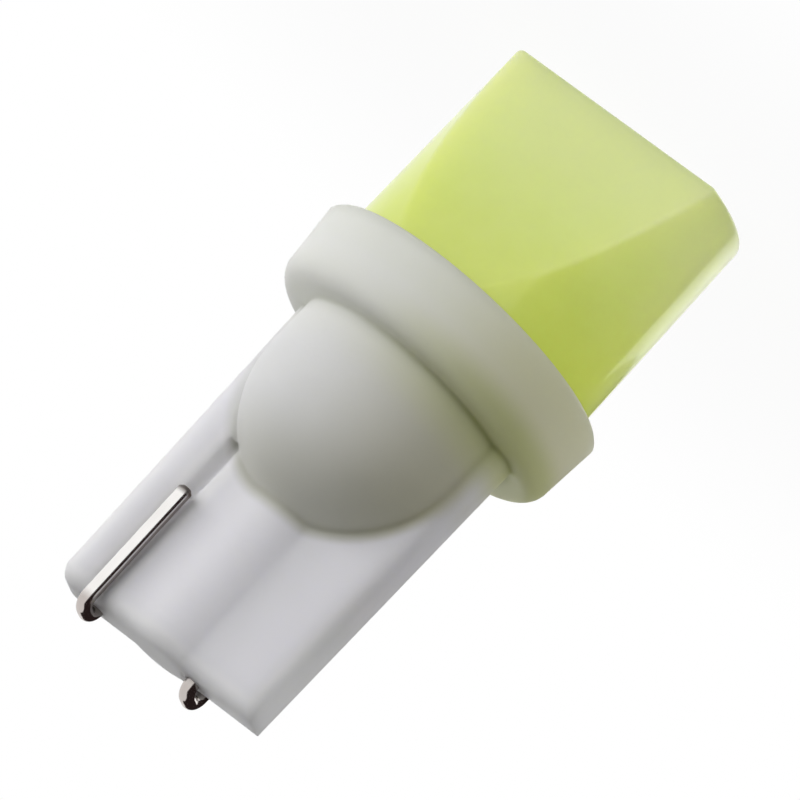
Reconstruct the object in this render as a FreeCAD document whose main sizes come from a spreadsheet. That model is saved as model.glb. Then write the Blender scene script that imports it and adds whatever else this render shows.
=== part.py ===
import FreeCAD, Part
import math
import os
import Sketcher

# Wedge base LED bulb, in millimetres.
# It stands on the flat tip of its head: the origin is the middle of that tip face,
# +Z runs along the bulb's axis towards the wedge, and the blade's front face looks to -Y.

DRIVING_SIZES = [
    ("head_height", 9.45, "tip face to the collar's rim"),
    ("head_seat_radius", 5.75, "round side of the head at its seated end"),
    ("head_draft", 0.15, "how much less that radius is at the tip"),
    ("head_tip_thickness", 5.1, "between the two flats at the tip"),
    ("head_seat_thickness", 10.88, "between the two flats at the collar's rim"),
    ("head_seat_depth", 1.5, "how far the head goes into the collar"),
    ("head_tip_round", 0.25, "rounding between the tip face and the round sides"),
    ("head_flat_round", 0.18, "rounding along the edges of the two flats"),
    ("head_seat_clearance", 0.05, "between the head and its seat in the collar"),
    ("collar_height", 3.2, "rim to underside"),
    ("collar_wall", 0.87, "wall round the head's seat at the rim"),
    ("collar_draft", 0.19, "how much less the collar's radius is at its underside"),
    ("collar_rim_bevel", 0.12, "broken outer edge of the rim"),
    ("collar_foot_round", 0.8, "rounding of the underside's outer edge"),
    ("collar_lead_in", 0.2, "chamfer at the mouth of the head's seat"),
    ("collar_ledge", 1.63, "underside of the collar outside the neck"),
    ("dome_drop", 2.15, "underside of the collar to the dome's centre"),
    ("dome_wall", 1.0, "wall round the cavity"),
    ("blade_length", 13.85, "underside of the collar to the blade's end"),
    ("blade_reach", 0.42, "blade beyond the neck on each side"),
    ("blade_taper", 0.23, "how much nearer the middle each side is at the blade's end"),
    ("blade_thickness", 2.1, "blade beside its rib"),
    ("blade_edge_round", 0.65, "rounding of the blade's edges"),
    ("blade_corner_round", 0.75, "rounded corner beside the front wire"),
    ("rib_width", 2.8, "centre rib's arch where it would meet the blade's face on both sides"),
    ("rib_height", 0.5, "crest of the rib above the blade's face"),
    ("rib_slope_reach", 2.4, "crest of the rib to the foot of its slope on the wire's side"),
    ("wire_diameter", 0.62, "tinned lead wire"),
    ("front_wire_inset", 1.94, "front wire's axis from the side of the blade's end"),
    ("back_wire_spacing", 0.46, "back wire's axis from the foot of the rib"),
    ("wire_face_length", 5.45, "blade's end to the wire's free end"),
    ("wire_face_stand", 0.22, "wire's axis above the blade's face"),
    ("wire_lean", 1.5, "angle by which the free end springs off the face"),
    ("wire_crown_gap", 0.12, "between the wire and the blade's end"),
    ("wire_bend_radius", 0.5, "bends at the blade's end"),
    ("wire_joggle_radius", 1.0, "bends between the board's face and the lead hole"),
    ("wire_gap", 0.05, "between the wire and what it passes"),
    ("wire_tip_bevel", 0.12, "broken edge of the wire's free end"),
    ("channel_radius", 0.33, "half-round channel under the wire"),
    ("board_side_cover", 0.65, "wall of the neck outside the board's edge"),
    ("board_thickness", 0.8, "circuit board"),
    ("board_tip_cover", 1.6, "resin between the board and the head's tip"),
    ("board_foot_drop", 1.95, "underside of the collar to the board's foot"),
    ("board_corner_round", 0.3, "corners of the board"),
    ("board_clearance", 0.05, "round the board in its slots"),
    ("package_length", 3.0, "light-emitting package across the board"),
    ("package_width", 1.4, "light-emitting package along the board"),
    ("package_height", 0.75, "light-emitting package above the board"),
    ("package_pitch", 2.3, "from one package to the next"),
    ("package_first", 1.7, "board's tip edge to the first package"),
    ("package_window_inset", 0.22, "rim round the package's window"),
    ("package_window_depth", 0.1, "window below the package's rim"),
    ("resistor_length", 2.0, "chip resistor across the board"),
    ("resistor_width", 1.25, "chip resistor along the board"),
    ("resistor_height", 0.55, "chip resistor at its end caps"),
    ("resistor_cap_length", 0.4, "end cap of the resistor"),
    ("resistor_cap_step", 0.06, "end cap above the resistor's body"),
    ("resistor_spacing", 0.475, "floor of the head's seat to the resistor"),
    ("solder_spacing", 0.09, "front solder joint to the wall of the cavity"),
    ("solder_rise", 0.95, "board's foot to the middle of the joint"),
    ("solder_wire_overlap", 0.4, "wire's end beyond the middle of the joint"),
]
PACKAGES_PER_SIDE = 3
# How far a cutting outline reaches past the solid that it cuts.
CUT_MARGIN = 1.0

doc = FreeCAD.newDocument("wedge_base_led_bulb")
sheet = doc.addObject("Spreadsheet::Sheet", "sizes")
for row, (alias, value, meaning) in enumerate(DRIVING_SIZES, start=1):
    sheet.set(f"A{row}", str(value))
    sheet.setAlias(f"A{row}", alias)
    sheet.set(f"B{row}", meaning)
doc.recompute()


class Size:
    """A length or an angle worked out from the sheet: its expression and its value now."""

    def __init__(self, text, value):
        self.text = text
        self.value = value

    def __add__(self, other):
        other = as_size(other)
        return Size(f"({self.text} + {other.text})", self.value + other.value)

    def __sub__(self, other):
        other = as_size(other)
        return Size(f"({self.text} - {other.text})", self.value - other.value)

    def __mul__(self, other):
        other = as_size(other)
        return Size(f"({self.text} * {other.text})", self.value * other.value)

    def __truediv__(self, other):
        other = as_size(other)
        return Size(f"({self.text} / {other.text})", self.value / other.value)

    def __neg__(self):
        return Size(f"(0 - {self.text})", -self.value)


def as_size(number):
    """Let plain numbers stand in a formula."""
    return number if isinstance(number, Size) else Size(f"({number})", float(number))


def from_sheet(alias):
    return Size(f"sizes.{alias}", float(sheet.get(alias)))


def root(size):
    return Size(f"sqrt({size.text})", math.sqrt(size.value))


def sine(angle):
    return Size(f"sin({angle.text})", math.sin(math.radians(angle.value)))


def cosine(angle):
    return Size(f"cos({angle.text})", math.cos(math.radians(angle.value)))


def bind(feature, prop, size):
    """Tie one property of a feature to the sheet."""
    feature.setExpression(prop, as_size(size).text)


# Driving sizes by name.
driving = {alias: from_sheet(alias) for alias, value, meaning in DRIVING_SIZES}
ZERO = as_size(0)

# Heights along the axis that several pieces share.
rim_z = driving["head_height"]
seat_floor_z = rim_z + driving["head_seat_depth"]
underside_z = rim_z + driving["collar_height"]
dome_z = underside_z + driving["dome_drop"]
blade_end_z = underside_z + driving["blade_length"]
board_tip_z = driving["board_tip_cover"]
board_foot_z = underside_z + driving["board_foot_drop"]

# Shared radii, from the head outwards to the collar and back in to the neck and its cavity.
seat_radius = driving["head_seat_radius"] + driving["head_seat_clearance"]
rim_radius = seat_radius + driving["collar_wall"]
foot_radius = rim_radius - driving["collar_draft"]
neck_radius = foot_radius - driving["collar_ledge"]
cavity_radius = neck_radius - driving["dome_wall"]

# Half sizes across the blade and the board, and the place of each wire.
half_root = neck_radius + driving["blade_reach"]
half_tip = half_root - driving["blade_taper"]
half_rib = driving["rib_width"] / 2
half_blade = driving["blade_thickness"] / 2
half_board = driving["board_thickness"] / 2
board_width = (neck_radius - driving["board_side_cover"]) * 2
wire_offset = {
    "front": half_tip - driving["front_wire_inset"],
    "back": half_rib + driving["back_wire_spacing"],
}
wire_radius = driving["wire_diameter"] / 2
lead_hole_radius = wire_radius + driving["wire_gap"]
wire_on_board_y = -(half_board + driving["wire_gap"] + wire_radius)
wire_start_z = board_foot_z - driving["solder_rise"] - driving["solder_wire_overlap"]


def new_body(name):
    body = doc.addObject("PartDesign::Body", name)
    body.Label = name
    return body


def new_sketch(body, name, plane, offset=None):
    """A sketch on one of the body's own origin planes, moved along the plane's normal."""
    sketch = body.newObject("Sketcher::SketchObject", name)
    origin_plane = next(item for item in body.Origin.OriginFeatures if item.Role == plane)
    sketch.AttachmentSupport = (origin_plane, [""])
    sketch.MapMode = "FlatFace"
    if offset is not None:
        bind(sketch, "AttachmentOffset.Base.z", offset)
    return sketch


def place_point(sketch, geometry, end, across, up):
    """Tie one end of a line or arc to its distances from the sketch's origin."""
    for kind, size in (("DistanceX", across), ("DistanceY", up)):
        index = sketch.addConstraint(Sketcher.Constraint(kind, -1, 1, geometry, end, size.value))
        if size is not ZERO:
            label = f"{kind}_{geometry}_{end}"
            sketch.renameConstraint(index, label)
            bind(sketch, f"Constraints.{label}", size)


def arc_between(start, end, radius, turn):
    """The short arc from start to end: turn is +1 anticlockwise and -1 clockwise."""
    chord = end - start
    middle = (start + end) * 0.5
    rise = math.sqrt(max(radius ** 2 - (chord.Length / 2) ** 2, 0.0))
    normal = FreeCAD.Vector(-chord.y, chord.x, 0).normalize() * turn
    centre = middle + normal * rise
    top = centre - normal * radius
    return Part.Arc(start, top, end)


def draw(sketch, start, steps, closed=True):
    """Lines and arcs from corner to corner, each corner and radius tied to the sheet.

    A step is (across, up) for a line, or (across, up, radius, turn) for an arc.
    """
    corners = [start] + [step[:2] for step in steps]
    if closed:
        corners[-1] = start
    first = sketch.GeometryCount
    for number, step in enumerate(steps):
        begin = FreeCAD.Vector(corners[number][0].value, corners[number][1].value, 0)
        finish = FreeCAD.Vector(corners[number + 1][0].value, corners[number + 1][1].value, 0)
        if len(step) == 2:
            sketch.addGeometry(Part.LineSegment(begin, finish))
        else:
            sketch.addGeometry(arc_between(begin, finish, step[2].value, step[3]))
    # An arc's own first end is where it starts anticlockwise.
    ends = [(2, 1) if len(step) == 4 and step[3] < 0 else (1, 2) for step in steps]
    for number, step in enumerate(steps):
        geometry = first + number
        place_point(sketch, geometry, ends[number][0], *corners[number])
        if closed or number + 1 < len(steps):
            following = (number + 1) % len(steps)
            sketch.addConstraint(Sketcher.Constraint(
                "Coincident", geometry, ends[number][1], first + following, ends[following][0]))
        else:
            place_point(sketch, geometry, ends[number][1], *corners[number + 1])
        if len(step) == 4:
            index = sketch.addConstraint(
                Sketcher.Constraint("Radius", geometry, step[2].value))
            label = f"Radius_{geometry}"
            sketch.renameConstraint(index, label)
            bind(sketch, f"Constraints.{label}", step[2])


def draw_rectangle(sketch, middle_across, middle_up, width, height):
    left = middle_across - width / 2
    right = middle_across + width / 2
    low = middle_up - height / 2
    high = middle_up + height / 2
    draw(sketch, (left, low), [(right, low), (right, high), (left, high), (left, low)])


def draw_circle(sketch, across, up, radius):
    centre = FreeCAD.Vector(across.value, up.value, 0)
    geometry = sketch.addGeometry(Part.Circle(centre, FreeCAD.Vector(0, 0, 1), radius.value))
    place_point(sketch, geometry, 3, across, up)
    index = sketch.addConstraint(Sketcher.Constraint("Radius", geometry, radius.value))
    label = f"Radius_{geometry}"
    sketch.renameConstraint(index, label)
    bind(sketch, f"Constraints.{label}", radius)


def revolve(body, name, kind, sketch, axis="V_Axis"):
    feature = body.newObject(f"PartDesign::{kind}", name)
    feature.Profile = sketch
    feature.ReferenceAxis = (sketch, [axis])
    feature.Angle = 360
    sketch.Visibility = False
    return feature


def extrude(body, name, kind, sketch, length, reverse=False, both_ways=False):
    feature = body.newObject(f"PartDesign::{kind}", name)
    feature.Profile = sketch
    feature.SideType = "Symmetric" if both_ways else "One side"
    feature.Reversed = reverse
    bind(feature, "Length", length)
    sketch.Visibility = False
    return feature


def edge_names(shape, wanted):
    """Names of the edges for which wanted(edge, middle point) is true."""
    found = []
    for number, edge in enumerate(shape.Edges, start=1):
        first, last = edge.ParameterRange
        if wanted(edge, edge.valueAt((first + last) / 2)):
            found.append(f"Edge{number}")
    return found


def dress(body, name, kind, base, wanted, prop, size):
    """A fillet or chamfer on the edges of base that wanted picks out."""
    doc.recompute()
    names = edge_names(base.Shape, wanted)
    if not names:
        raise RuntimeError(f"{name} finds no edge")
    feature = body.newObject(f"PartDesign::{kind}", name)
    feature.Base = (base, names)
    bind(feature, prop, size)
    return feature


def near(value, target, tolerance=0.02):
    return abs(value - target) < tolerance


# Base housing: collar, neck, dome and ribbed blade, moulded as one and hollow.
def make_base_housing():
    body = new_body("base_housing")
    corner = driving["blade_corner_round"]
    blade_start_z = underside_z - driving["collar_height"] / 2

    # Flat blade, tapering to its end, with one rounded corner.
    blade_sketch = new_sketch(body, "blade_outline", "XZ_Plane")
    draw(blade_sketch, (-half_root, blade_start_z), [
        (half_root, blade_start_z),
        (half_root, underside_z),
        (half_tip, blade_end_z - corner),
        (half_tip - corner, blade_end_z, corner, 1),
        (-half_tip, blade_end_z),
        (-half_root, underside_z),
        (-half_root, blade_start_z),
    ])
    extrude(body, "blade", "Pad", blade_sketch, driving["blade_thickness"], both_ways=True)

    # Centre rib on both faces: a low arch in section, which meets the face at a crease on one
    # side and runs out into a hollow slope on the side where the wire lies.
    rib_height = driving["rib_height"]
    slope_foot = driving["rib_slope_reach"]
    arch_radius = (half_rib * half_rib + rib_height * rib_height) / (rib_height * 2)
    both_radii = (slope_foot * slope_foot + rib_height * rib_height) / (rib_height * 2)
    slope_radius = both_radii - arch_radius
    turn_x = slope_foot * arch_radius / both_radii
    turn_y = half_blade + rib_height * slope_radius / both_radii
    rib_sketch = new_sketch(body, "rib_section", "XY_Plane", blade_end_z)
    draw(rib_sketch, (-half_rib, -half_blade), [
        (turn_x, -turn_y, arch_radius, 1),
        (slope_foot, -half_blade, slope_radius, -1),
        (half_rib, half_blade),
        (-turn_x, turn_y, arch_radius, 1),
        (-slope_foot, half_blade, slope_radius, -1),
        (-half_rib, -half_blade),
    ])
    rib = extrude(body, "rib", "Pad", rib_sketch, driving["blade_length"], reverse=True)

    # Rounded long edges and end edges of the blade and the rib.
    def blade_edge(edge, middle):
        on_face = abs(middle.y) > half_blade.value - 0.001
        at_end = near(middle.z, blade_end_z.value)
        at_side = abs(middle.x) > half_tip.value - corner.value
        return on_face and (at_end or (at_side and middle.z > underside_z.value))

    dress(body, "blade_rounding", "Fillet", rib, blade_edge, "Radius",
          driving["blade_edge_round"])

    # Collar, neck and dome as one turned profile.
    rim_bevel = driving["collar_rim_bevel"]
    foot_round = driving["collar_foot_round"]
    turned_sketch = new_sketch(body, "collar_and_dome_profile", "XZ_Plane")
    draw(turned_sketch, (ZERO, rim_z), [
        (rim_radius - rim_bevel, rim_z),
        (rim_radius, rim_z + rim_bevel),
        (foot_radius, underside_z - foot_round),
        (foot_radius - foot_round, underside_z, foot_round, 1),
        (neck_radius, underside_z),
        (neck_radius, dome_z),
        (ZERO, dome_z + neck_radius, neck_radius, 1),
        (ZERO, rim_z),
    ])
    revolve(body, "collar_and_dome", "Revolution", turned_sketch)

    # Seat of the head, and the cavity that follows the neck and the dome.
    lead_in = driving["collar_lead_in"]
    cavity_sketch = new_sketch(body, "cavity_profile", "XZ_Plane")
    draw(cavity_sketch, (ZERO, rim_z), [
        (seat_radius + lead_in, rim_z),
        (seat_radius, rim_z + lead_in),
        (seat_radius, seat_floor_z),
        (cavity_radius, seat_floor_z),
        (cavity_radius, dome_z),
        (ZERO, dome_z + cavity_radius, cavity_radius, 1),
        (ZERO, rim_z),
    ])
    revolve(body, "cavity", "Groove", cavity_sketch)

    # Two guides in the cavity's wall that hold the board by its sides.
    guide_sketch = new_sketch(body, "board_guides_outline", "XY_Plane", seat_floor_z)
    draw_rectangle(guide_sketch, ZERO, ZERO,
                   board_width + driving["board_clearance"] * 2,
                   driving["board_thickness"] + driving["board_clearance"] * 2)
    extrude(body, "board_guides", "Pocket", guide_sketch,
            board_foot_z - seat_floor_z + driving["board_clearance"], reverse=True)

    # Lead holes from the blade's end into the cavity.
    hole_sketch = new_sketch(body, "lead_holes_outline", "XY_Plane", blade_end_z)
    draw_circle(hole_sketch, wire_offset["front"], ZERO, lead_hole_radius)
    draw_circle(hole_sketch, -wire_offset["back"], ZERO, lead_hole_radius)
    extrude(body, "lead_holes", "Pocket", hole_sketch, blade_end_z - dome_z)

    # Half-round channels in the blade's faces, one under each wire, from the end to the dome.
    for side, turn in (("front", 1), ("back", -1)):
        offset = wire_offset[side]
        dome_rise = root(neck_radius * neck_radius - offset * offset - half_blade * half_blade)
        channel_sketch = new_sketch(body, f"{side}_channel_outline", "XY_Plane", blade_end_z)
        draw_circle(channel_sketch, offset * turn, -half_blade * turn,
                    driving["channel_radius"])
        body.Tip = extrude(body, f"{side}_channel", "Pocket", channel_sketch,
                           blade_end_z - dome_z - dome_rise)
    return body


# Phosphor head: a round block cast round the board, with two flats that slant in to its tip.
def make_phosphor_head():
    body = new_body("phosphor_head")
    side_radius = driving["head_seat_radius"]
    tip_radius = side_radius - driving["head_draft"]
    seat_end_z = seat_floor_z - driving["head_seat_clearance"]
    block_sketch = new_sketch(body, "round_block_profile", "XZ_Plane")
    tip_round = driving["head_tip_round"]
    draw(block_sketch, (ZERO, ZERO), [
        (tip_radius - tip_round, ZERO),
        (tip_radius, tip_round, tip_round, 1),
        (side_radius, seat_end_z),
        (ZERO, seat_end_z),
        (ZERO, ZERO),
    ])
    revolve(body, "round_block", "Revolution", block_sketch)

    # Everything outside the two slanting flats is cut away.
    half_tip = driving["head_tip_thickness"] / 2
    slant = (driving["head_seat_thickness"] / 2 - half_tip) / rim_z
    low_y = half_tip - slant * CUT_MARGIN
    outer_y = side_radius + CUT_MARGIN
    outer_z = (outer_y - half_tip) / slant
    flats_sketch = new_sketch(body, "slanting_flats_outline", "YZ_Plane")
    below = as_size(-CUT_MARGIN)
    draw(flats_sketch, (low_y, below), [(outer_y, below), (outer_y, outer_z), (low_y, below)])
    draw(flats_sketch, (-low_y, below), [(-outer_y, outer_z), (-outer_y, below), (-low_y, below)])
    flats = extrude(body, "slanting_flats", "Pocket", flats_sketch,
                    (side_radius + CUT_MARGIN) * 2, both_ways=True)

    # Rounded edges of the flats.
    def flat_edge(edge, middle):
        return near(abs(middle.y), half_tip.value + slant.value * middle.z)

    dress(body, "head_rounding", "Fillet", flats, flat_edge, "Radius", driving["head_flat_round"])

    # Slot that the board fills, and the pockets of the packages on its two faces.
    clearance = driving["board_clearance"]
    slot_sketch = new_sketch(body, "board_slot_outline", "XY_Plane", seat_end_z)
    draw_rectangle(slot_sketch, ZERO, ZERO, board_width + clearance * 2,
                   driving["board_thickness"] + clearance * 2)
    extrude(body, "board_slot", "Pocket", slot_sketch, seat_end_z - board_tip_z + clearance)
    pocket_sketch = new_sketch(body, "package_pocket_outline", "XZ_Plane")
    draw_rectangle(pocket_sketch, ZERO, board_tip_z + driving["package_first"],
                   driving["package_length"] + clearance * 2,
                   driving["package_width"] + clearance * 2)
    pocket = extrude(body, "package_pocket", "Pocket", pocket_sketch,
                     driving["board_thickness"] + (driving["package_height"] + clearance) * 2,
                     both_ways=True)
    pattern = body.newObject("PartDesign::LinearPattern", "package_pockets")
    pattern.Originals = [pocket]
    pattern.Direction = (pocket_sketch, ["V_Axis"])
    pattern.Occurrences = PACKAGES_PER_SIDE
    bind(pattern, "Length", driving["package_pitch"] * (PACKAGES_PER_SIDE - 1))
    body.Tip = pattern
    return body


# Circuit board: a plain upright plate with rounded corners.
def make_led_board():
    body = new_body("led_board")
    outline = new_sketch(body, "board_outline", "XZ_Plane")
    draw_rectangle(outline, ZERO, (board_tip_z + board_foot_z) / 2, board_width,
                   board_foot_z - board_tip_z)
    plate = extrude(body, "board_plate", "Pad", outline, driving["board_thickness"],
                    both_ways=True)

    def board_corner(edge, middle):
        return near(middle.y, 0) and near(edge.Length, driving["board_thickness"].value)

    body.Tip = dress(body, "board_corners", "Fillet", plate, board_corner, "Radius",
                     driving["board_corner_round"])
    return body


def put_on_board(body, side, across, height):
    """Move a piece that is modelled for the front face to its place on the front or the back."""
    turn = 0 if side == "front" else 180
    body.Placement = FreeCAD.Placement(
        FreeCAD.Vector(0, 0, 0), FreeCAD.Rotation(FreeCAD.Vector(0, 0, 1), turn))
    bind(body, "Placement.Base.x", across if side == "front" else -across)
    bind(body, "Placement.Base.z", height)


# Light-emitting package: a moulded block with a shallow window.
def make_led_package(side, number):
    body = new_body(f"led_{side}_{number + 1}")
    outline = new_sketch(body, "package_outline", "XZ_Plane", half_board)
    draw_rectangle(outline, ZERO, ZERO, driving["package_length"], driving["package_width"])
    extrude(body, "package_block", "Pad", outline, driving["package_height"])
    inset = driving["package_window_inset"]
    window_outline = new_sketch(body, "window_outline", "XZ_Plane",
                                half_board + driving["package_height"])
    draw_rectangle(window_outline, ZERO, ZERO, driving["package_length"] - inset * 2,
                   driving["package_width"] - inset * 2)
    body.Tip = extrude(body, "window", "Pocket", window_outline,
                       driving["package_window_depth"])
    height = board_tip_z + driving["package_first"] + driving["package_pitch"] * number
    put_on_board(body, side, ZERO, height)
    return body


# Chip resistor: a flat block between two slightly thicker end caps.
def make_series_resistor(side):
    body = new_body(f"series_resistor_{side}")
    half_length = driving["resistor_length"] / 2
    cap_start = half_length - driving["resistor_cap_length"]
    board_y = -half_board
    top_y = board_y - driving["resistor_height"]
    waist_y = top_y + driving["resistor_cap_step"]
    section = new_sketch(body, "resistor_section", "XY_Plane")
    draw(section, (-half_length, board_y), [
        (-half_length, top_y),
        (-cap_start, top_y),
        (-cap_start, waist_y),
        (cap_start, waist_y),
        (cap_start, top_y),
        (half_length, top_y),
        (half_length, board_y),
        (-half_length, board_y),
    ])
    body.Tip = extrude(body, "resistor_block", "Pad", section, driving["resistor_width"],
                       both_ways=True)
    height = seat_floor_z + driving["resistor_spacing"] + driving["resistor_width"] / 2
    put_on_board(body, side, ZERO, height)
    return body


# Contact wire: from its joint on the board through the blade, round its end and up its face.
def make_contact_wire(side):
    body = new_body(f"contact_wire_{side}")
    bend = driving["wire_bend_radius"]
    joggle = driving["wire_joggle_radius"]
    step = -wire_on_board_y
    joggle_rise = root(step * joggle - step * step / 4)
    lean = driving["wire_lean"]
    crown_z = blade_end_z + driving["wire_crown_gap"] + wire_radius
    bend_z = crown_z - bend
    face_y = -(half_blade + driving["wire_face_stand"])
    last_bend_y = face_y + bend
    lean_y = last_bend_y - bend * cosine(lean)
    lean_z = bend_z + bend * sine(lean)
    run = driving["wire_face_length"] - (blade_end_z - lean_z)
    route = new_sketch(body, "wire_route", "YZ_Plane")
    draw(route, (wire_on_board_y, wire_start_z), [
        (wire_on_board_y, board_foot_z),
        (wire_on_board_y / 2, board_foot_z + joggle_rise, joggle, -1),
        (ZERO, board_foot_z + joggle_rise * 2, joggle, 1),
        (ZERO, bend_z),
        (-bend, crown_z, bend, 1),
        (last_bend_y, crown_z),
        (lean_y, lean_z, bend, 1),
        (lean_y - run * sine(lean), lean_z - run * cosine(lean)),
    ], closed=False)
    section = new_sketch(body, "wire_section", "XY_Plane", wire_start_z)
    draw_circle(section, ZERO, wire_on_board_y, wire_radius)
    doc.recompute()
    wire = body.newObject("PartDesign::AdditivePipe", "wire")
    wire.Profile = section
    wire.Spine = (route, [f"Edge{number + 1}" for number in range(len(route.Shape.Edges))])
    section.Visibility = False
    route.Visibility = False

    def free_end(edge, middle):
        return middle.y < -half_blade.value and edge.Closed

    body.Tip = dress(body, "wire_free_end", "Chamfer", wire, free_end, "Size",
                     driving["wire_tip_bevel"])
    put_on_board(body, side, wire_offset[side], ZERO)
    return body


# Solder joint: a small dome on the board round the wire's end.
def make_solder_joint(side):
    body = new_body(f"solder_joint_{side}")
    reach = root(wire_offset["front"] * wire_offset["front"] + half_board * half_board)
    radius = cavity_radius - reach - driving["solder_spacing"]
    dome_sketch = new_sketch(body, "joint_profile", "YZ_Plane")
    draw(dome_sketch, (-half_board, ZERO), [
        (-half_board, radius),
        (-half_board - radius, ZERO, radius, 1),
        (-half_board, ZERO),
    ])
    revolve(body, "joint_dome", "Revolution", dome_sketch, axis="H_Axis")
    channel = new_sketch(body, "wire_channel_outline", "XY_Plane",
                         -driving["solder_wire_overlap"])
    draw_circle(channel, ZERO, wire_on_board_y, wire_radius)
    body.Tip = extrude(body, "wire_channel", "Pocket", channel,
                       radius + driving["solder_wire_overlap"], reverse=True)
    put_on_board(body, side, wire_offset[side], board_foot_z - driving["solder_rise"])
    return body


pieces = [make_base_housing(), make_phosphor_head(), make_led_board()]
for board_side in ("front", "back"):
    for package in range(PACKAGES_PER_SIDE):
        pieces.append(make_led_package(board_side, package))
    pieces.append(make_series_resistor(board_side))
    pieces.append(make_contact_wire(board_side))
    pieces.append(make_solder_joint(board_side))
doc.recompute()

for item in doc.Objects:
    if "Invalid" in item.State or "Error" in item.State:
        raise RuntimeError(f"{item.Label} did not build: {item.State}")
for piece in pieces:
    if piece.Shape.isNull() or not piece.Shape.isValid() or len(piece.Shape.Solids) != 1:
        raise RuntimeError(f"{piece.Label} is not one sound solid")

os.makedirs("parts", exist_ok=True)
for piece in pieces:
    piece.Shape.exportStep(f"parts/{piece.Label}.step")
    box = piece.Shape.optimalBoundingBox()
    print(f"{piece.Label}: {piece.Shape.Volume:.2f} mm3, "
          f"X {box.XMin:.2f}..{box.XMax:.2f} Y {box.YMin:.2f}..{box.YMax:.2f} "
          f"Z {box.ZMin:.2f}..{box.ZMax:.2f}")
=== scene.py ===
import math

import bpy
from mathutils import Matrix, Vector

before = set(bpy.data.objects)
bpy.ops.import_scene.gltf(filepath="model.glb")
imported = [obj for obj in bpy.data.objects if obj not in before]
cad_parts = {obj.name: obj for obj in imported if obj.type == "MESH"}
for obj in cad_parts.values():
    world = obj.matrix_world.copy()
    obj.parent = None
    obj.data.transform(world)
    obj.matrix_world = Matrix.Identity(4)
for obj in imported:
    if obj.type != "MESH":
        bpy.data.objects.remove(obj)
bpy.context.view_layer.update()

MM = 0.001


# --- Base housing -----------------------------------------------------------------------------
# The collar, neck, dome and ribbed blade are one moulding in opaque white thermoplastic.
# The real plastic is one white all over. The warm side, the grey nose and the tint round the
# collar's underside are the photo's light, painted into the colour.

class Channel:
    """One socket of a material, so that sums and products of sockets read as plain Python."""

    def __init__(self, finish, socket):
        self.finish = finish
        self.socket = socket

    def _math(self, operation, first, second):
        return self.finish.node("ShaderNodeMath", {"operation": operation},
                                {0: first, 1: second})

    def __add__(self, other):
        return self._math("ADD", self, other)

    def __radd__(self, other):
        return self._math("ADD", other, self)

    def __sub__(self, other):
        return self._math("SUBTRACT", self, other)

    def __rsub__(self, other):
        return self._math("SUBTRACT", other, self)

    def __mul__(self, other):
        return self._math("MULTIPLY", self, other)

    def __rmul__(self, other):
        return self._math("MULTIPLY", other, self)

    def __truediv__(self, other):
        return self._math("DIVIDE", self, other)

    def __pow__(self, other):
        return self._math("POWER", self, other)

    def __abs__(self):
        return (self ** 2) ** 0.5


class Finish:
    """The nodes of a material, or of another owner of nodes. Every node comes from node()."""

    def __init__(self, name, owner=None):
        self.owner = owner or bpy.data.materials.new(name)
        self.owner.use_nodes = True
        self.tree = self.owner.node_tree
        self.tree.nodes.clear()

    def node(self, kind, settings, sockets, output=0):
        """Add a node: its settings first, then the values and links of its sockets."""
        added = self.tree.nodes.new(kind)
        for name, value in settings.items():
            setattr(added, name, value)
        for key, value in sockets.items():
            if isinstance(value, Channel):
                self.tree.links.new(value.socket, added.inputs[key])
            else:
                added.inputs[key].default_value = value
        return Channel(self, added.outputs[output]) if added.outputs else None

    def place(self, axis):
        """The distance from the origin along one axis, in millimetres."""
        where = self.node("ShaderNodeTexCoord", {}, {}, "Object")
        return self.node("ShaderNodeSeparateXYZ", {}, {0: where}, axis) / MM

    def step(self, value, low, high):
        """0 below low, 1 above high and a smooth run between them."""
        return self.node("ShaderNodeMapRange", {"interpolation_type": "SMOOTHSTEP"},
                         {"Value": value, "From Min": low, "From Max": high,
                          "To Min": 0.0, "To Max": 1.0})

    def mix(self, share, first, second):
        """The first colour where share is 0, and the second where it is 1."""
        return self.node("ShaderNodeMix", {"data_type": "RGBA"},
                         {0: share, 6: first, 7: second}, 2)

    def clouds(self, size, detail=2.0):
        """Soft random patches about size millimetres across, from 0 to 1."""
        where = self.node("ShaderNodeTexCoord", {}, {}, "Object")
        return self.node("ShaderNodeTexNoise", {"noise_dimensions": "3D"},
                         {"Vector": where, "Scale": 1.0 / (size * MM), "Detail": detail,
                          "Roughness": 0.5}, "Fac")

    def relief(self, height, depth, **sockets):
        """Bumps of depth millimetres."""
        return self.node("ShaderNodeBump", {}, {"Height": height, "Distance": depth * MM,
                                                **sockets})

    def soft_relief(self, height, depth, radius):
        """Bumps on a surface whose edges and creases are rounded by radius millimetres."""
        rounded = self.node("ShaderNodeBevel", {"samples": 8}, {"Radius": radius * MM})
        return self.relief(height, depth, Normal=rounded)

    def show(self, shader, kind="ShaderNodeOutputMaterial"):
        """Send a shader to the output, and give back what owns the nodes."""
        self.node(kind, {}, {"Surface": shader})
        return self.owner

    def surface(self, **sockets):
        """One Principled shader with these sockets, sent to the output."""
        named = {key.replace("_", " "): value for key, value in sockets.items()}
        return self.show(self.node("ShaderNodeBsdfPrincipled", {}, named, "BSDF"))


def srgb(red, green, blue):
    """A colour given as 0 to 255 on screen, in the linear values that shaders use."""
    def linear(part):
        part = part / 255
        return part / 12.92 if part <= 0.04045 else ((part + 0.055) / 1.055) ** 2.4
    return (linear(red), linear(green), linear(blue), 1.0)


def dress(node_name, material):
    """Put a material on a CAD node's own slots."""
    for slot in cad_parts[node_name].material_slots:
        slot.material = material


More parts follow.
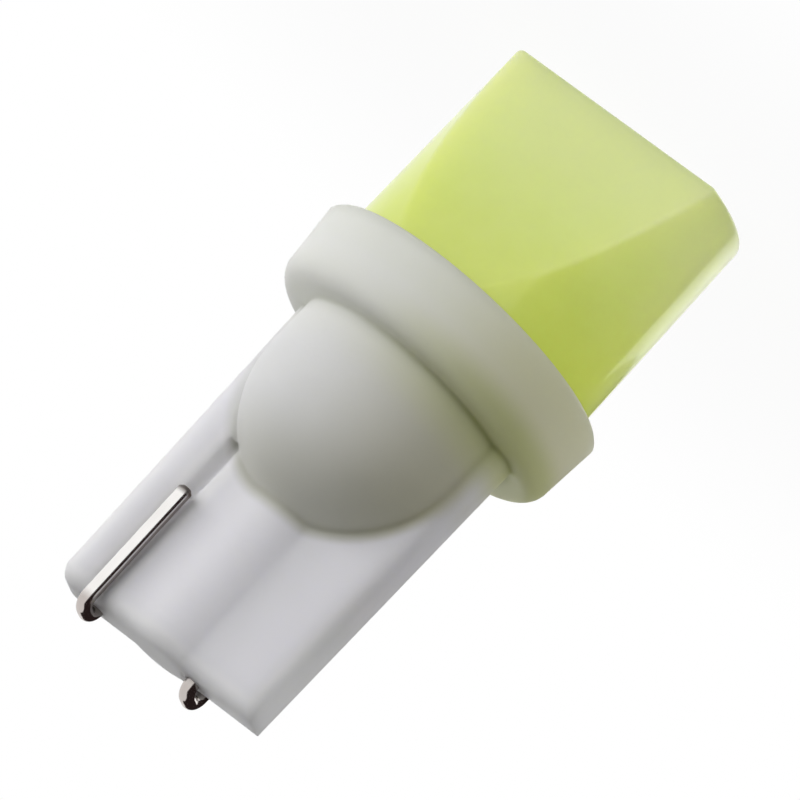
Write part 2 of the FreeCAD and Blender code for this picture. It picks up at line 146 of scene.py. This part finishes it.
# Places on the moulding, in millimetres.
UNDERSIDE_Z = 12.65
DOME_CENTRE_Z = 14.8
DOME_RADIUS = 4.85
NOSE_Z = 19.65
BLADE_END_Z = 26.5
BLADE_HALF_WIDTH = 5.0
FRONT_LEAD_X = 3.10
BACK_LEAD_X = -1.86

COLLAR_WHITE = srgb(238, 238, 236)
COLLAR_WARM = srgb(226, 224, 196)
DOME_WHITE = srgb(231, 231, 231)
DOME_WARM = srgb(208, 206, 184)
NOSE_GREY = srgb(202, 202, 190)
NOSE_SHARE = 0.8
BLADE_WHITE = srgb(239, 238, 243)
# Painted light on the blade's sides, end and channels.
PAINTED_LIGHT_WHITE = srgb(252, 249, 255)
# Painted light: the glow round the collar's underside.
GLOW = srgb(194, 200, 132)
GLOW_EVERYWHERE = 0.1
GLOW_ON_WARM_SIDE = 0.6

white = Finish("base_plastic")
across, depth, height = white.place("X"), white.place("Y"), white.place("Z")

# Painted light: one side of the collar and the dome is warm, and the dome's nose is grey.
warm_side = white.step(across * -0.9 + depth * 0.44, -4.0, 4.5)
collar_colour = white.mix(warm_side, COLLAR_WHITE, COLLAR_WARM)
dome_colour = white.mix(warm_side, DOME_WHITE, DOME_WARM)
towards_nose = white.step(height, DOME_CENTRE_Z + 1.5, NOSE_Z)
dome_colour = white.mix(NOSE_SHARE * towards_nose, dome_colour, NOSE_GREY)

# Painted light: the blade's thin sides and end, and its channels, which rendered too dark, are
# painted lighter.
near_side = white.step(abs(across), BLADE_HALF_WIDTH - 0.7, BLADE_HALF_WIDTH - 0.1)
near_side = near_side * white.step(height, DOME_CENTRE_Z, BLADE_END_Z)
near_end = white.step(height, BLADE_END_Z - 0.9, BLADE_END_Z - 0.2)
front_channel = 1 - white.step(abs(across - FRONT_LEAD_X), 0.4, 1.0)
front_channel = front_channel * (1 - white.step(depth, -0.3, 0.0))
back_channel = 1 - white.step(abs(across - BACK_LEAD_X), 0.4, 1.0)
back_channel = back_channel * white.step(depth, 0.0, 0.3)
not_painted_lighter = (1 - near_side) * (1 - near_end) * (1 - front_channel) * (1 - back_channel)
blade_colour = white.mix(1 - not_painted_lighter, BLADE_WHITE, PAINTED_LIGHT_WHITE)

from_dome = (across ** 2 + depth ** 2 + (height - DOME_CENTRE_Z) ** 2) ** 0.5
on_blade = white.step(from_dome, DOME_RADIUS + 0.05, DOME_RADIUS + 0.6)
past_collar = white.step(height, UNDERSIDE_Z, DOME_CENTRE_Z)
body_colour = white.mix(past_collar, collar_colour, dome_colour)
body_colour = white.mix(past_collar * on_blade, body_colour, blade_colour)
# Painted light: a yellow-green glow round the collar's underside, faint all round and stronger
# on the warm side.
painted_glow_share = white.step(height, UNDERSIDE_Z - 1.6, UNDERSIDE_Z - 0.4)
painted_glow_share = painted_glow_share * (1 - white.step(height, UNDERSIDE_Z - 0.1, DOME_CENTRE_Z))
painted_glow_share = painted_glow_share * (GLOW_EVERYWHERE + GLOW_ON_WARM_SIDE * warm_side)

dress("base_housing", white.surface(
    Base_Color=white.mix(painted_glow_share, body_colour, GLOW),
    Roughness=0.38 + 0.08 * white.clouds(1.2),
    Specular_IOR_Level=0.4,
    Subsurface_Weight=0.9,
    Subsurface_Radius=(1.0, 1.0, 0.95),
    Subsurface_Scale=1.5 * MM,
    Normal=white.soft_relief(white.clouds(0.25, 3.0), 0.003, 1.0),
))


# --- Phosphor head ----------------------------------------------------------------------------
# A round block of silicone resin filled with yellow-green phosphor, cast round the board and
# seated in the collar, with two flats that slant in towards its tip. Its weak emission stands
# in for the light that real phosphor gives back.

RIM_Z = 9.45
TIP_END_Z = 0.5
HEAD_PALE = srgb(222, 233, 156)
HEAD_DEEP = srgb(192, 205, 92)
HEAD_CLOUD = srgb(236, 240, 190)
CLOUD_SHARE = 0.16
TIP_GLOW = srgb(150, 160, 100)
SEAT_GLOW = srgb(186, 198, 76)

resin = Finish("phosphor_resin")
towards_seat = resin.step(resin.place("Z"), TIP_END_Z, RIM_Z)
resin_colour = resin.mix(towards_seat, HEAD_PALE, HEAD_DEEP)
dress("phosphor_head", resin.surface(
    Base_Color=resin.mix(CLOUD_SHARE * resin.clouds(1.6, 3.0), resin_colour, HEAD_CLOUD),
    Roughness=0.26 + 0.08 * resin.clouds(2.5),
    Specular_IOR_Level=0.5,
    Subsurface_Weight=1.0,
    Subsurface_Radius=(1.0, 1.05, 0.45),
    Subsurface_Scale=5.0 * MM,
    Emission_Color=resin.mix(towards_seat, TIP_GLOW, SEAT_GLOW),
    Emission_Strength=0.35,
    Coat_Weight=0.5,
    Coat_Roughness=0.07,
    Normal=resin.soft_relief(resin.clouds(1.8), 0.003, 0.35),
))


# --- Contact wires ----------------------------------------------------------------------------
# Each lead is drawn copper wire with a bright tin coat, fed through the blade, bent over its
# end and laid back along its face, where the lamp holder's springs press on it. The dark brown
# on the side that lies in the channel is a painted reflection of the channel's shade.

TIN = srgb(250, 248, 246)
DULL_TIN = srgb(238, 235, 231)
BEND_TINT = srgb(168, 156, 150)
CUT_END = srgb(58, 44, 36)
PAINTED_CHANNEL_SHADE = srgb(74, 52, 42)
FREE_END_Z = 21.05
BEND_Z = 26.5
AXIS_DEPTH_AT_BEND = 1.27
LEAN_SLOPE = 0.0262

tin = Finish("tinned_wire")
along = tin.place("Z")
off_middle = abs(tin.place("Y"))
cut_end = 1 - tin.step(along, FREE_END_Z + 0.1, FREE_END_Z + 0.4)
cut_end = cut_end * tin.step(off_middle, 1.1, 1.2)
bend = tin.step(along, BEND_Z - 0.2, BEND_Z + 0.3)
above_axis = off_middle - (AXIS_DEPTH_AT_BEND + LEAN_SLOPE * (BEND_Z - along))
# Painted reflection: the side of the lead that lies in the channel is darkened as if it showed
# the channel's shade.
in_channel = (1 - tin.step(above_axis, 0.08, 0.2)) * (1 - bend)
tin_colour = tin.mix(tin.clouds(1.2), TIN, DULL_TIN)
tin_colour = tin.mix(0.7 * bend, tin_colour, BEND_TINT)
tin_colour = tin.mix(0.9 * cut_end, tin_colour, CUT_END)
tin_colour = tin.mix(0.75 * in_channel, tin_colour, PAINTED_CHANNEL_SHADE)
tin_material = tin.surface(
    Base_Color=tin_colour,
    Metallic=1.0,
    Roughness=0.12 + 0.06 * tin.clouds(0.8) + 0.25 * cut_end,
)
for side in ("front", "back"):
    dress(f"contact_wire_{side}", tin_material)


# --- Circuit board ----------------------------------------------------------------------------
# A glass-fibre laminate under white lacquer. It slides into slots in the base and stands up
# inside the head.

board = Finish("board_laminate")
dress("led_board", board.surface(
    Base_Color=board.mix(board.clouds(0.5), srgb(222, 224, 216), srgb(206, 210, 200)),
    Roughness=0.5,
))


# --- Light-emitting packages ------------------------------------------------------------------
# Three on each face of the board, soldered flat. Each is a small moulded frame whose window is
# filled with phosphor.

PACKAGES_PER_SIDE = 3

package = Finish("package_plastic")
package_material = package.surface(
    Base_Color=package.mix(package.clouds(0.4), srgb(232, 226, 150), srgb(220, 210, 120)),
    Roughness=0.35,
)
for side in ("front", "back"):
    for number in range(1, PACKAGES_PER_SIDE + 1):
        dress(f"led_{side}_{number}", package_material)


# --- Series resistors -------------------------------------------------------------------------
# One black ceramic chip resistor a side, soldered to the board between the packages and the
# lead, to set the current of its string.

ceramic = Finish("resistor_ceramic")
ceramic_material = ceramic.surface(
    Base_Color=ceramic.mix(ceramic.clouds(0.3), srgb(40, 40, 44), srgb(60, 60, 62)),
    Roughness=0.4,
)
for side in ("front", "back"):
    dress(f"series_resistor_{side}", ceramic_material)


# --- Solder joints ----------------------------------------------------------------------------
# A small mound of solder on each face of the board holds the end of each lead.

solder = Finish("solder")
solder_material = solder.surface(
    Base_Color=solder.mix(solder.clouds(0.3), srgb(200, 200, 204), srgb(170, 170, 176)),
    Metallic=1.0,
    Roughness=0.28,
)
for side in ("front", "back"):
    dress(f"solder_joint_{side}", solder_material)


# --- Floor and background ---------------------------------------------------------------------
# A matt white paper floor that looks plain white to the camera and keeps a faint shadow of the
# bulb. The world is as white to the camera and in reflections, and lights the bulb very little.

FLOOR_SIZE = 4.0
FLOOR_GAP = 0.05
FLOOR_GREY = 0.85
SHADOW_SHARE = 0.05
SHADOW_RUN = (10.0, 45.0)
FILL = 0.05
FULL_WHITE = (1.0, 1.0, 1.0, 1.0)


def seen_directly(finish):
    """1 for what the camera sees, also in metal or through glass, and 0 for the light itself."""
    rays = [finish.node("ShaderNodeLightPath", {}, {}, f"Is {kind} Ray")
            for kind in ("Camera", "Glossy", "Transmission")]
    return finish.node("ShaderNodeMath", {"operation": "ADD", "use_clamp": True},
                       {0: rays[0] + rays[1], 1: rays[2]})


bpy.ops.object.select_all(action="DESELECT")
bpy.ops.mesh.primitive_plane_add(size=FLOOR_SIZE, location=(0, 0, -FLOOR_GAP * MM))
floor = bpy.context.object
floor.name = "floor"
paper = Finish("paper_sweep")
from_bulb = (paper.place("X") ** 2 + paper.place("Y") ** 2) ** 0.5
bare_share = 1 - SHADOW_SHARE * (1 - paper.step(from_bulb, *SHADOW_RUN))
matt = paper.node("ShaderNodeBsdfDiffuse", {}, {"Color": (*[FLOOR_GREY] * 3, 1.0)})
bright = paper.node("ShaderNodeEmission", {}, {"Color": FULL_WHITE, "Strength": 1.0})
floor.data.materials.append(paper.show(paper.node(
    "ShaderNodeMixShader", {}, {0: seen_directly(paper) * bare_share, 1: matt, 2: bright})))
floor.visible_glossy = False

world = bpy.data.worlds.new("studio")
bpy.context.scene.world = world
sky = Finish("studio", world)
sky.show(sky.node("ShaderNodeBackground", {}, {
    "Color": FULL_WHITE, "Strength": seen_directly(sky) * (1 - FILL) + FILL,
}), "ShaderNodeOutputWorld")


# --- Lamps ------------------------------------------------------------------------------------
# Soft boxes round the bulb, most of the light from the camera's left and low, as in the photo.
# Two small ones with a narrow spread lift the side of the head and the blade's end.

def soft_lamp(name, place, size, power, target=(0, 0, 0.013), spread=180.0):
    """A rectangular lamp at place, in metres, that points at target and isn't seen itself."""
    lamp = bpy.data.lights.new(name, "AREA")
    lamp.shape = "RECTANGLE"
    lamp.size, lamp.size_y = size
    lamp.energy = power
    lamp.spread = math.radians(spread)
    holder = bpy.data.objects.new(name, lamp)
    bpy.context.scene.collection.objects.link(holder)
    holder.location = place
    holder.rotation_mode = "QUATERNION"
    holder.rotation_quaternion = (Vector(place) - Vector(target)).to_track_quat("Z", "Y")
    holder.visible_camera = False
    holder.visible_glossy = False


soft_lamp("key_softbox", (0.112, -0.104, 0.062), (0.18, 0.12), 0.03)
soft_lamp("low_softbox", (0.092, -0.077, 0.022), (0.14, 0.036), 0.078)
soft_lamp("front_softbox", (0.051, -0.141, 0.045), (0.10, 0.08), 0.025)
soft_lamp("right_softbox", (-0.145, -0.039, 0.045), (0.10, 0.08), 0.022)
soft_lamp("back_softbox", (-0.045, 0.14, 0.06), (0.12, 0.09), 0.09)
soft_lamp("head_softbox", (-0.065, -0.020, 0.006), (0.04, 0.008), 0.00075,
          target=(0, 0, 0.003), spread=40)
soft_lamp("end_softbox", (-0.022, -0.008, 0.034), (0.008, 0.006), 0.000024,
          target=(-0.003, -0.001, 0.0255), spread=26)


# --- Reflection cards -------------------------------------------------------------------------
# Dark felt to the camera's right gives the bright tin its dark line, and a small white card
# gives the head's round side its light edge. Only reflections see them.

CAMERA_BEARING = -26.0
CARD_REACH = 120.0
DARK_FELT = (0.03, 0.02, 0.02, 1.0)
BRIGHT_CARD = (1.7, 1.7, 1.7, 1.0)


def reflection_card(name, bearings, heights, colour):
    """An upright card between two bearings and two heights.

    Bearings are in degrees to the right of the camera, as seen from the bulb. Heights are in
    millimetres, and so is the distance of the card's upright edges from the bulb's axis.
    """
    near, far = (math.radians(CAMERA_BEARING - bearing) for bearing in bearings)
    middle, half = (near + far) / 2, (near - far) / 2
    from_axis = CARD_REACH * math.cos(half)
    bpy.ops.object.select_all(action="DESELECT")
    bpy.ops.mesh.primitive_plane_add(
        size=1.0,
        location=Vector((from_axis * math.sin(middle), -from_axis * math.cos(middle),
                         (heights[0] + heights[1]) / 2)) * MM,
        rotation=(math.pi / 2, 0, middle))
    card = bpy.context.object
    card.name = name
    card.scale = (2 * CARD_REACH * math.sin(half) * MM, (heights[1] - heights[0]) * MM, 1)
    paint = Finish(name)
    card.data.materials.append(paint.show(paint.node(
        "ShaderNodeEmission", {}, {"Color": colour, "Strength": 1.0})))
    card.visible_camera = False
    card.visible_diffuse = False
    card.visible_shadow = False
    card.visible_transmission = False


reflection_card("near_felt", (18, 85), (-120, 200), DARK_FELT)
reflection_card("far_felt", (85, 126), (-120, 200), DARK_FELT)
reflection_card("upper_felt", (126, 165), (-23, 200), DARK_FELT)
reflection_card("head_reflector", (126, 152), (-45, -23), BRIGHT_CARD)


# --- Camera -----------------------------------------------------------------------------------
# A long lens half a metre away, rolled so that the head points to the upper right.

CAMERA_PLACE = Vector((-0.213244, -0.437065, 0.128846))
CAMERA_RIGHT = Vector((-0.725445, 0.177603, -0.664971))
CAMERA_UP = Vector((0.540324, -0.451522, -0.710055))
CAMERA_BACK = Vector((-0.426357, -0.874406, 0.231591))

camera_data = bpy.data.cameras.new("camera")
camera_data.sensor_width = 36.0
camera_data.lens = 604.1
camera_data.clip_start = 0.01
camera_data.clip_end = 20.0
camera = bpy.data.objects.new("camera", camera_data)
bpy.context.scene.collection.objects.link(camera)
camera_turn = Matrix((CAMERA_RIGHT, CAMERA_UP, CAMERA_BACK)).transposed().to_4x4()
camera.matrix_world = Matrix.Translation(CAMERA_PLACE) @ camera_turn
bpy.context.scene.camera = camera
bpy.context.scene.view_settings.view_transform = "Standard"
